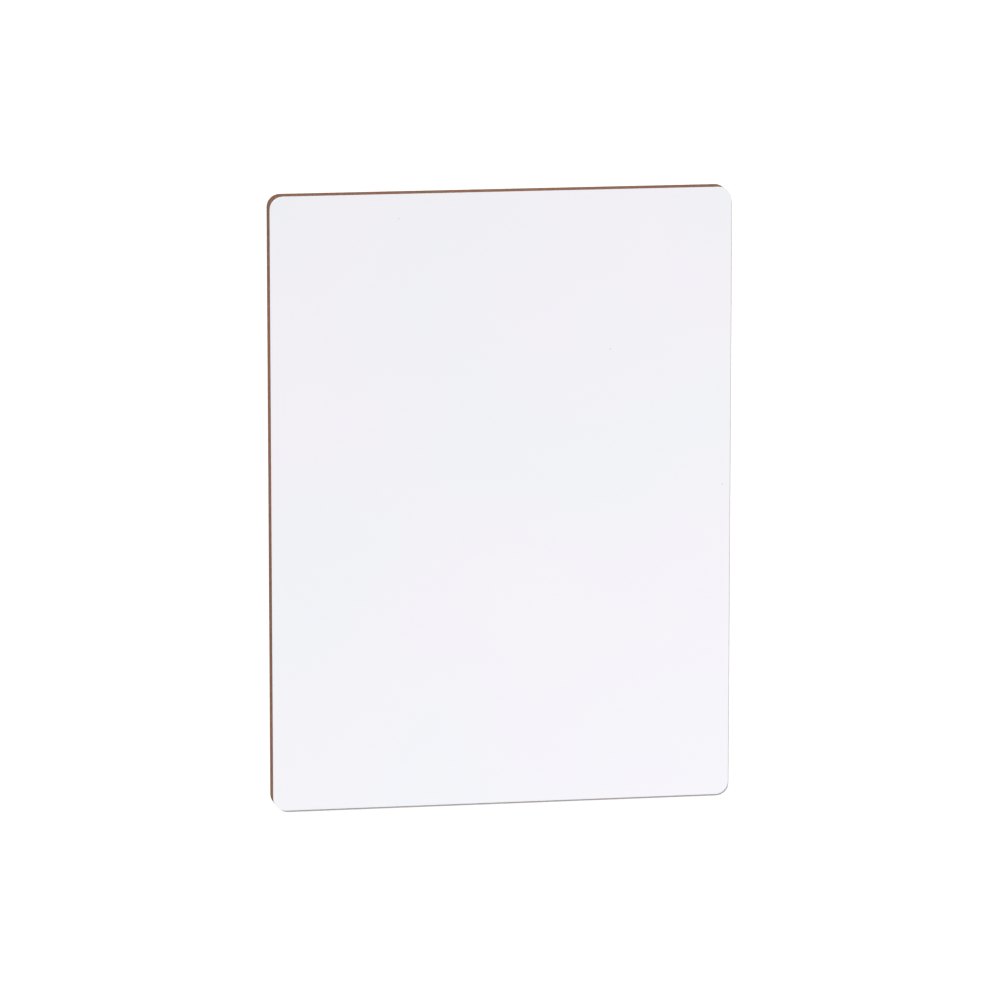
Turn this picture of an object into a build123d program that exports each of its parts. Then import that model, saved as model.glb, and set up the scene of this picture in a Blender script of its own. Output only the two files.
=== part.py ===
from build123d import *

import os

# A marker board: a brown fibreboard core with a white laminate writing sheet glued to its front
# and a brown backer laminate glued to its back. It lies on its back with the writing face up.
#
# X is the width, Y the height with the board's top edge towards +Y, and Z the thickness.
# The origin is under the middle of the board, on the surface that its back rests on.
# All sizes are in millimetres.

INCH = 25.4

# Driving dimensions
board_width = 9 * INCH
board_height = 12 * INCH
corner_radius = INCH / 4
core_thickness = 9.5
sheet_thickness = 0.7
glue_thickness = 0.1
sheet_bevel = 0.1  # the arris of each laminate sheet is eased by this much
glue_inset = 0.3  # the adhesive stops this far inside the edge of the board

# Heights of the layers' undersides, from the back of the board up
back_glue_z = sheet_thickness
core_z = back_glue_z + glue_thickness
front_glue_z = core_z + core_thickness
writing_sheet_z = front_glue_z + glue_thickness


def draw_outline(inset=0):
    """Draws the board's rounded outline in the open sketch, brought in by inset all round."""
    RectangleRounded(board_width - 2 * inset, board_height - 2 * inset, corner_radius - inset)


os.makedirs("parts", exist_ok=True)

# Balance sheet: brown backer laminate, its rear arris eased all round
with BuildPart() as back_balance_sheet:
    with BuildSketch(Plane.XY):
        draw_outline()
    extrude(amount=sheet_thickness)
    chamfer(back_balance_sheet.faces().sort_by(Axis.Z)[0].edges(), length=sheet_bevel)
back_balance_sheet.part.label = "back_balance_sheet"
export_step(back_balance_sheet.part, "parts/back_balance_sheet.step")

# Adhesive between the balance sheet and the core
with BuildPart() as back_glue_film:
    with BuildSketch(Plane.XY.offset(back_glue_z)):
        draw_outline(glue_inset)
    extrude(amount=glue_thickness)
back_glue_film.part.label = "back_glue_film"
export_step(back_glue_film.part, "parts/back_glue_film.step")

# Core: one fibreboard panel, sawn square, its cut edge left bare
with BuildPart() as core_board:
    with BuildSketch(Plane.XY.offset(core_z)):
        draw_outline()
    extrude(amount=core_thickness)
core_board.part.label = "core_board"
export_step(core_board.part, "parts/core_board.step")

# Adhesive between the core and the writing sheet
with BuildPart() as front_glue_film:
    with BuildSketch(Plane.XY.offset(front_glue_z)):
        draw_outline(glue_inset)
    extrude(amount=glue_thickness)
front_glue_film.part.label = "front_glue_film"
export_step(front_glue_film.part, "parts/front_glue_film.step")

# Writing sheet: white laminate, its front arris eased all round
with BuildPart() as front_writing_sheet:
    with BuildSketch(Plane.XY.offset(writing_sheet_z)):
        draw_outline()
    extrude(amount=sheet_thickness)
    chamfer(front_writing_sheet.faces().sort_by(Axis.Z)[-1].edges(), length=sheet_bevel)
front_writing_sheet.part.label = "front_writing_sheet"
export_step(front_writing_sheet.part, "parts/front_writing_sheet.step")
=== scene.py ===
import math

import bmesh
import bpy
from mathutils import Matrix, Vector, noise


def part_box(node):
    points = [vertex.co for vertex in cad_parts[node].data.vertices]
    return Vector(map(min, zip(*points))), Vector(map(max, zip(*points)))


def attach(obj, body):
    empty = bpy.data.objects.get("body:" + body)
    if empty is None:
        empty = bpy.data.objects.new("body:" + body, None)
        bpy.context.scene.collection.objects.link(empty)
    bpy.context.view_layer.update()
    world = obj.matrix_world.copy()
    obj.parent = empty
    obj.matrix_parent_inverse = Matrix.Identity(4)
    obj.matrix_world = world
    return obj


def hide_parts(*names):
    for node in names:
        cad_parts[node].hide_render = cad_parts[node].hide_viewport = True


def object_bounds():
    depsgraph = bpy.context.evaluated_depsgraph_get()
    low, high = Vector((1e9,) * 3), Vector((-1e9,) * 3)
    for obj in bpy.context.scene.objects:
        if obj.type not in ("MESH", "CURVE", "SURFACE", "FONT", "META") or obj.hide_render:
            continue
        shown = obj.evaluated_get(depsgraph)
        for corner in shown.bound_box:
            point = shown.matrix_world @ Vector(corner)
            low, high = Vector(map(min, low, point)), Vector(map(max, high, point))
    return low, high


# A marker board that lies on its back: a white laminate writing sheet, a brown fibreboard core and
# a brown backer laminate, with a line of adhesive between the layers. All sizes are in metres.

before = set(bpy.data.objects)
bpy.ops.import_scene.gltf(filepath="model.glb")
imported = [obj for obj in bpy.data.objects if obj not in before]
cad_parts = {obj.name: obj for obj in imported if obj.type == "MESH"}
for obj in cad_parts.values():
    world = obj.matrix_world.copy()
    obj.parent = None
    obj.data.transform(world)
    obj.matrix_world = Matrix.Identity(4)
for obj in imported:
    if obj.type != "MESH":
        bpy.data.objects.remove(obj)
cad_low, cad_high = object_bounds()

MM = 0.001
CORNER_RADIUS = 6.35 * MM
ARRIS = 0.1 * MM  # the depth and width of the eased arris
WHITE_LAYER = 0.15 * MM  # the depth of the white layer on its kraft backing
SHEET_PITCH = 1.5 * MM  # the spacing of points round the sheets and the adhesive
CORE_PITCH = 0.6 * MM  # the spacing of points round the core's ragged edge
CORE_LEVELS = 19
SHARP_ANGLE = math.radians(50)


# ---------------------------------------------------------------- mesh building


def outline_stations(pitch):
    """Points round the board's outline, anticlockwise, each with its outward normal."""
    half = Vector(((cad_high.x - cad_low.x) / 2, (cad_high.y - cad_low.y) / 2))
    centre = Vector((cad_high.x + cad_low.x, cad_high.y + cad_low.y)) / 2
    reach = half - Vector((CORNER_RADIUS, CORNER_RADIUS))
    arc_steps = max(6, round(CORNER_RADIUS * math.pi / 2 / pitch))
    stations = []
    for quarter, (side_x, side_y) in enumerate(((1, 1), (-1, 1), (-1, -1), (1, -1))):
        corner = centre + Vector((side_x * reach.x, side_y * reach.y))
        for step in range(arc_steps + 1):
            angle = math.radians(90) * (quarter + step / arc_steps)
            normal = Vector((math.cos(angle), math.sin(angle)))
            stations.append((corner + normal * CORNER_RADIUS, normal))
        straight = 2 * (reach.x if quarter % 2 == 0 else reach.y)
        along = Vector((-normal.y, normal.x))
        start = stations[-1][0]
        steps = max(1, round(straight / pitch))
        stations += [(start + along * straight * i / steps, normal) for i in range(1, steps)]
    return stations


def build_layer(name, pitch, rings):
    """A closed layer of the board from its rings, bottom to top, with flat ends. Each ring is a
    function that gives the height and the inset from the outline at a point of the outline."""
    mesh = bmesh.new()
    loops = []
    for ring in rings:
        loop = []
        for point, normal in outline_stations(pitch):
            height, inset = ring(point)
            spot = point - normal * inset
            loop.append(mesh.verts.new((spot.x, spot.y, height)))
        loops.append(loop)
    count = len(loops[0])
    for lower, upper in zip(loops, loops[1:]):
        for i in range(count):
            j = (i + 1) % count
            mesh.faces.new((lower[i], lower[j], upper[j], upper[i])).smooth = True
    mesh.faces.new(list(reversed(loops[0])))
    mesh.faces.new(loops[-1])
    data = bpy.data.meshes.new(name)
    mesh.to_mesh(data)
    mesh.free()
    data.set_sharp_from_angle(angle=SHARP_ANGLE)
    # the two ends are flat-shaded, so the rounded arris doesn't tilt their normals
    for face in data.polygons:
        face.use_smooth = len(face.vertices) == 4
    piece = bpy.data.objects.new(name, data)
    bpy.context.scene.collection.objects.link(piece)
    return piece


def waver(point, size, seed):
    """Smooth noise between about -1 and 1 round the outline, with features of this size."""
    return noise.noise(Vector((point.x / size, point.y / size, seed)))


def flat_ring(height, inset=0.0):
    return lambda point: (height, inset)


def rounded_arris(z_edge, z_face, steps=4):
    """Rings of a rounded arris, from the outline at z_edge to the flat of the sheet at z_face."""
    rings = []
    for step in range(steps + 1):
        angle = math.radians(90) * step / steps
        height = z_edge + (z_face - z_edge) * math.sin(angle)
        rings.append(flat_ring(height, ARRIS * (1 - math.cos(angle))))
    return rings


# ---------------------------------------------------------------- materials


class Nodes:
    """Fills the node tree of a new material or world. add() makes a node: an input given a socket
    is linked, and one given a value is set."""

    def __init__(self, block):
        self.block = block
        block.use_nodes = True
        self.tree = block.node_tree
        self.tree.nodes.clear()

    def add(self, kind, inputs=None, **settings):
        node = self.tree.nodes.new("ShaderNode" + kind)
        for name, value in settings.items():
            setattr(node, name, value)
        for name, value in (inputs or {}).items():
            if isinstance(value, bpy.types.NodeSocket):
                self.tree.links.new(value, node.inputs[name])
            else:
                node.inputs[name].default_value = value
        return node

    def place(self, scale=(1, 1, 1), rotation=(0, 0, 0)):
        """The board's own coordinates, stretched by scale, so a large number makes it finer."""
        coords = self.add("TexCoord").outputs["Object"]
        settings = {"Vector": coords, "Scale": scale, "Rotation": rotation}
        return self.add("Mapping", settings).outputs["Vector"]

    def noise(self, where, scale, detail=4.0, roughness=0.5, distortion=0.0):
        settings = {
            "Vector": where,
            "Scale": scale,
            "Detail": detail,
            "Roughness": roughness,
            "Distortion": distortion,
        }
        return self.add("TexNoise", settings).outputs["Fac"]

    def spread(self, value, low, high, to_low=0.0, to_high=1.0, shape="LINEAR"):
        """Takes low..high of a value to to_low..to_high, and holds it there outside."""
        settings = {
            "Value": value,
            "From Min": low,
            "From Max": high,
            "To Min": to_low,
            "To Max": to_high,
        }
        return self.add("MapRange", settings, interpolation_type=shape).outputs["Result"]

    def mix(self, factor, first, second, blend="MIX"):
        inputs = {0: factor, 6: first, 7: second}
        # the data type is set before the inputs, so add() can fill the colour sockets
        return self.add("Mix", inputs, data_type="RGBA", blend_type=blend).outputs[2]

    def mix_numbers(self, factor, first, second):
        inputs = {0: factor, 2: first, 3: second}
        return self.add("Mix", inputs, data_type="FLOAT").outputs[0]

    def tint(self, tone, factor, first, second):
        """Multiplies a tone by a colour between two others."""
        return self.mix(1.0, tone, self.mix(factor, first, second), "MULTIPLY")

    def maths(self, operation, first, second=0.0):
        node = self.add("Math", {0: first, 1: second}, operation=operation)
        return node.outputs[0]

    def bump(self, height, depth, under=None):
        """Bump whose full range of height is this deep, in metres."""
        settings = {"Height": height, "Strength": 1.0, "Distance": depth}
        if under is not None:
            settings["Normal"] = under
        return self.add("Bump", settings).outputs["Normal"]

    def finish(self, inputs):
        """Ends a material in one principled shader with these inputs."""
        shader = self.add("BsdfPrincipled", inputs)
        self.add("OutputMaterial", {"Surface": shader.outputs["BSDF"]})
        return self.block


def new_material(name):
    return Nodes(bpy.data.materials.new(name))


def rgb(red, green, blue):
    return (red, green, blue, 1.0)


def make_white_laminate():
    """Glossy white writing surface: near-flat colour with faint blotches, wipe marks and specks."""
    m = new_material("white_laminate")
    place = m.place()
    blotch = m.spread(m.noise(place, 8.0, 1.0), 0.35, 0.65)
    tone = m.mix(blotch, rgb(0.800, 0.812, 0.842), rgb(0.828, 0.804, 0.848))

    # painted shading: a broad drift in tone, lighter towards the bottom and the right, that stands
    # in for light falling unevenly across the face
    axes = m.add("SeparateXYZ", {"Vector": place})
    down = m.spread(axes.outputs["Y"], cad_high.y, cad_low.y)
    across = m.spread(axes.outputs["X"], cad_low.x, cad_high.x)
    drift = m.maths("ADD", m.maths("MULTIPLY", down, 0.75), m.maths("MULTIPLY", across, 0.25))
    drift = m.spread(drift, 0.0, 1.0)
    tone = m.tint(tone, drift, rgb(0.971, 0.971, 0.971), rgb(1.021, 1.021, 1.026))

    # specks in the surface, at (right of the middle, below the top edge, radius) in millimetres
    for right, below, radius in ((-51, 12, 0.45), (54, 79, 0.5), (110.5, 148, 0.5)):
        spot = Vector((right * MM, cad_high.y - below * MM, cad_high.z))
        apart = m.add("VectorMath", {0: place, 1: spot}, operation="DISTANCE").outputs["Value"]
        cover = m.spread(apart, 0.3 * radius * MM, radius * MM, 0.45, 0.0)
        tone = m.mix(cover, tone, rgb(0.36, 0.34, 0.33))

    wipes = m.noise(m.place((6, 22, 6), (0, 0, math.radians(24))), 1.0, 1.0)
    roughness = m.spread(wipes, 0.2, 0.8, 0.12, 0.15)
    peel = m.noise(place, 260.0, 1.0)
    normal = m.bump(peel, 0.003 * MM)
    return m.finish({"Base Color": tone, "Roughness": roughness, "Normal": normal, "IOR": 1.5})


def make_kraft():
    """Brown resin-soaked paper under the white layer, cut edge on."""
    m = new_material("kraft_layers")
    plies = m.noise(m.place((60, 60, 9000)), 1.0, 2.0)
    flecks = m.noise(m.place((1500, 1500, 3000)), 1.0, 3.0)
    tone = m.mix(m.spread(plies, 0.3, 0.7), rgb(0.078, 0.029, 0.013), rgb(0.138, 0.058, 0.028))
    tone = m.mix(m.spread(flecks, 0.55, 0.75, 0.0, 0.5), tone, rgb(0.30, 0.17, 0.10))
    normal = m.bump(m.noise(m.place((900, 900, 5000)), 1.0, 4.0), 0.03 * MM)
    return m.finish({"Base Color": tone, "Roughness": 0.6, "Normal": normal})


def make_fibreboard():
    """Bare sawn edge of fibreboard: fine matted fibres, darker and denser near the faces."""
    m = new_material("fibreboard")
    low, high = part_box("core_board")
    fibres = m.noise(m.place((1100, 1100, 2300)), 1.0, 5.0, 0.7, 0.4)
    clumps = m.noise(m.place((330, 330, 620)), 1.0, 3.0, 0.6)
    drift = m.noise(m.place((11, 11, 11)), 1.0, 2.0)
    tone = m.mix(m.spread(fibres, 0.34, 0.66), rgb(0.086, 0.027, 0.009), rgb(0.286, 0.110, 0.038))
    tone = m.tint(tone, m.spread(clumps, 0.3, 0.7), rgb(0.78, 0.74, 0.72), rgb(1.20, 1.18, 1.14))
    tone = m.tint(tone, m.spread(drift, 0.35, 0.65), rgb(0.88, 0.85, 0.86), rgb(1.12, 1.10, 1.02))
    height = m.add("SeparateXYZ", {"Vector": m.place()}).outputs["Z"]
    middle = (low.z + high.z) / 2
    thickness = high.z - low.z
    from_middle = m.maths("ABSOLUTE", m.maths("SUBTRACT", height, middle))
    dense = m.spread(from_middle, 0.25 * thickness, 0.5 * thickness)
    tone = m.tint(tone, dense, rgb(1.06, 1.06, 1.06), rgb(0.80, 0.78, 0.76))
    pale = m.noise(m.place((2400, 2400, 900)), 1.0, 2.0)
    tone = m.mix(m.spread(pale, 0.66, 0.78, 0.0, 0.55), tone, rgb(0.42, 0.23, 0.115))
    normal = m.bump(clumps, 0.12 * MM)
    normal = m.bump(fibres, 0.10 * MM, normal)
    roughness = m.spread(fibres, 0.3, 0.7, 0.95, 0.8)
    return m.finish({"Base Color": tone, "Roughness": roughness, "Normal": normal})


def make_adhesive():
    """Dried amber adhesive in the joint."""
    m = new_material("adhesive")
    lumps = m.noise(m.place((400, 400, 400)), 1.0, 3.0)
    tone = m.mix(m.spread(lumps, 0.35, 0.65), rgb(0.36, 0.22, 0.10), rgb(0.62, 0.45, 0.24))
    roughness = m.spread(lumps, 0.3, 0.7, 0.3, 0.55)
    normal = m.bump(lumps, 0.04 * MM)
    return m.finish({"Base Color": tone, "Roughness": roughness, "Normal": normal})


def make_brown_laminate():
    """Sanded brown backer: fine scratches along the height over a mottled tone."""
    m = new_material("brown_laminate")
    mottle = m.noise(m.place((30, 30, 30)), 1.0, 5.0, 0.6)
    scratches = m.noise(m.place((2600, 45, 2600)), 1.0, 3.0, 0.6)
    tone = m.mix(m.spread(mottle, 0.3, 0.7), rgb(0.125, 0.058, 0.030), rgb(0.215, 0.110, 0.062))
    scored = m.spread(scratches, 0.55, 0.8, 0.0, 0.35)
    tone = m.mix(scored, tone, rgb(0.42, 0.29, 0.20))
    roughness = m.spread(scratches, 0.3, 0.7, 0.52, 0.72)
    normal = m.bump(scratches, 0.03 * MM)
    return m.finish({"Base Color": tone, "Roughness": roughness, "Normal": normal})


# ---------------------------------------------------------------- the board's layers


def dress(piece, material, node):
    """Gives a piece its finish, and its place in the frame as the stand-in for a CAD node."""
    piece.data.materials.append(material)
    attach(piece, "root")
    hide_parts(node)


def make_writing_sheet():
    """The white layer, which takes in the whole arris, on its brown kraft backing."""
    low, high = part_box("front_writing_sheet")

    def seam(point):
        return high.z - WHITE_LAYER + 0.03 * MM * waver(point, 9 * MM, 3.0), 0.0

    arris = rounded_arris(high.z - ARRIS, high.z)
    white = build_layer("writing_surface", SHEET_PITCH, [seam] + arris)
    kraft = build_layer("writing_sheet_kraft", SHEET_PITCH, [flat_ring(low.z), seam])
    dress(white, make_white_laminate(), "front_writing_sheet")
    dress(kraft, make_kraft(), "front_writing_sheet")


def make_core():
    """The sawn core, proud at its dense faces and a little eaten back and ragged in the middle."""
    low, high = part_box("core_board")
    grain = 2.2 * MM
    saw_pitch = 0.6 * MM

    def ring_at(depth):
        soft = 1 - abs(2 * depth - 1) ** 3  # none at the dense faces, full in the middle

        def ring(point):
            height = low.z + (high.z - low.z) * depth
            where = Vector((point.x / grain, point.y / grain, depth * 14))
            ragged = abs(noise.fractal(where, 0.6, 2.2, 4))
            saw_marks = 0.5 + 0.5 * math.sin((point.x - point.y) / saw_pitch + 2 * depth)
            return height, soft * (0.02 + 0.12 * ragged + 0.03 * saw_marks) * MM

        return ring

    rings = [ring_at(level / (CORE_LEVELS - 1)) for level in range(CORE_LEVELS)]
    core = build_layer("core_edge", CORE_PITCH, rings)
    dress(core, make_fibreboard(), "core_board")


def make_glue_line(node, name, seed, material):
    """An adhesive film whose edge wanders between the joint's mouth and a little way in."""
    low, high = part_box(node)

    def ring(height):
        return lambda point: (height, 0.28 * MM + 0.2 * MM * waver(point, 6 * MM, seed))

    film = build_layer(name, SHEET_PITCH, [ring(low.z), ring(high.z)])
    dress(film, material, node)


def make_balance_sheet():
    """The brown backer, its arris rounded all round where it meets the table."""
    low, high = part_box("back_balance_sheet")
    arris = list(reversed(rounded_arris(low.z + ARRIS, low.z)))
    sheet = build_layer("balance_sheet", SHEET_PITCH, arris + [flat_ring(high.z)])
    dress(sheet, make_brown_laminate(), "back_balance_sheet")


# ---------------------------------------------------------------- studio


def make_floor():
    """A pale floor, large enough to run out of every view."""
    reach = 40.0
    mesh = bmesh.new()
    bmesh.ops.create_grid(mesh, x_segments=4, y_segments=4, size=reach)
    data = bpy.data.meshes.new("floor")
    mesh.to_mesh(data)
    mesh.free()
    floor = bpy.data.objects.new("floor", data)
    floor.location.z = cad_low.z - 0.02 * MM  # just clear of the board's back
    bpy.context.scene.collection.objects.link(floor)
    m = new_material("floor_paint")
    pale = rgb(0.95, 0.95, 0.95)
    floor.data.materials.append(m.finish({
        "Base Color": pale,
        "Roughness": 1.0,
        "Specular IOR Level": 0.0,
        "Emission Color": pale,
        "Emission Strength": 0.15,
    }))


def make_world():
    """Soft white surroundings: white along the horizon, so that the floor runs out into it, dimmer
    overhead, brighter past the board's top edge, and with a broad soft lamp over the other end."""
    world = bpy.data.worlds.new("studio")
    w = Nodes(world)
    way = w.add("TexCoord").outputs["Generated"]
    axes = w.add("SeparateXYZ", {"Vector": way}).outputs
    far_wall = w.spread(axes["Y"], 0.1, 1.0, 0.0, 0.7, "SMOOTHSTEP")
    lamp_way = Vector((0.34, -0.44, 1)).normalized()
    towards_lamp = w.add("VectorMath", {0: way, 1: lamp_way}, operation="DOT_PRODUCT")
    lamp = w.spread(towards_lamp.outputs["Value"], 0.95, 0.995, 0.0, 0.9, "SMOOTHSTEP")
    overhead = 0.24
    sky = w.maths("ADD", w.maths("ADD", far_wall, lamp), overhead)
    above_horizon = w.spread(axes["Z"], 0.03, 0.14, 0.0, 1.0, "SMOOTHSTEP")
    white = 1.3
    strength = w.mix_numbers(above_horizon, white, sky)
    light = w.add("Background", {"Strength": strength})
    w.add("OutputWorld", {"Surface": light.outputs["Background"]})
    bpy.context.scene.world = world


def make_key_light():
    """One soft lamp high up and far off, a little to the left and past the board's top edge."""
    slope_left = 0.237  # how far left and past the top edge it is, for each unit of height
    slope_up = 0.296
    to_lamp = Vector((-slope_left, slope_up, 1)).normalized()
    lamp = bpy.data.lights.new("key", "SUN")
    lamp.energy = 2.68
    lamp.angle = math.radians(2.5)
    key = bpy.data.objects.new("key", lamp)
    key.rotation_euler = to_lamp.to_track_quat("Z", "Y").to_euler()
    bpy.context.scene.collection.objects.link(key)


def make_camera():
    """Looks down on the writing face from a little to the left and towards the top edge, with the
    board's height upright in the frame."""
    left = math.radians(9.931)
    above = math.radians(10.171)
    distance = 3.19716  # from the middle of the writing face
    off_axis_right = 0.99 * MM  # how far the face's middle is from the middle of the frame
    off_axis_up = 0.19 * MM
    to_camera = Vector((-math.sin(left), math.tan(above), math.cos(left))) * math.cos(above)
    right = Vector((0, 1, 0)).cross(to_camera).normalized()
    up = to_camera.cross(right)
    face_centre = (cad_low + cad_high) / 2
    face_centre.z = cad_high.z
    aim = face_centre - right * off_axis_right - up * off_axis_up
    lens = bpy.data.cameras.new("camera")
    lens.sensor_width = 36
    lens.lens = 234.27
    lens.clip_start = 0.01
    lens.clip_end = 200
    camera = bpy.data.objects.new("camera", lens)
    turn = Matrix((right, up, to_camera)).transposed().to_4x4()
    camera.matrix_world = Matrix.Translation(aim + to_camera * distance) @ turn
    bpy.context.scene.collection.objects.link(camera)
    bpy.context.scene.camera = camera


make_writing_sheet()
make_core()
glue = make_adhesive()
make_glue_line("front_glue_film", "front_glue_line", 11.0, glue)
make_glue_line("back_glue_film", "back_glue_line", 17.0, glue)
make_balance_sheet()

make_floor()
make_world()
make_key_light()
make_camera()
bpy.context.scene.view_settings.view_transform = "Standard"
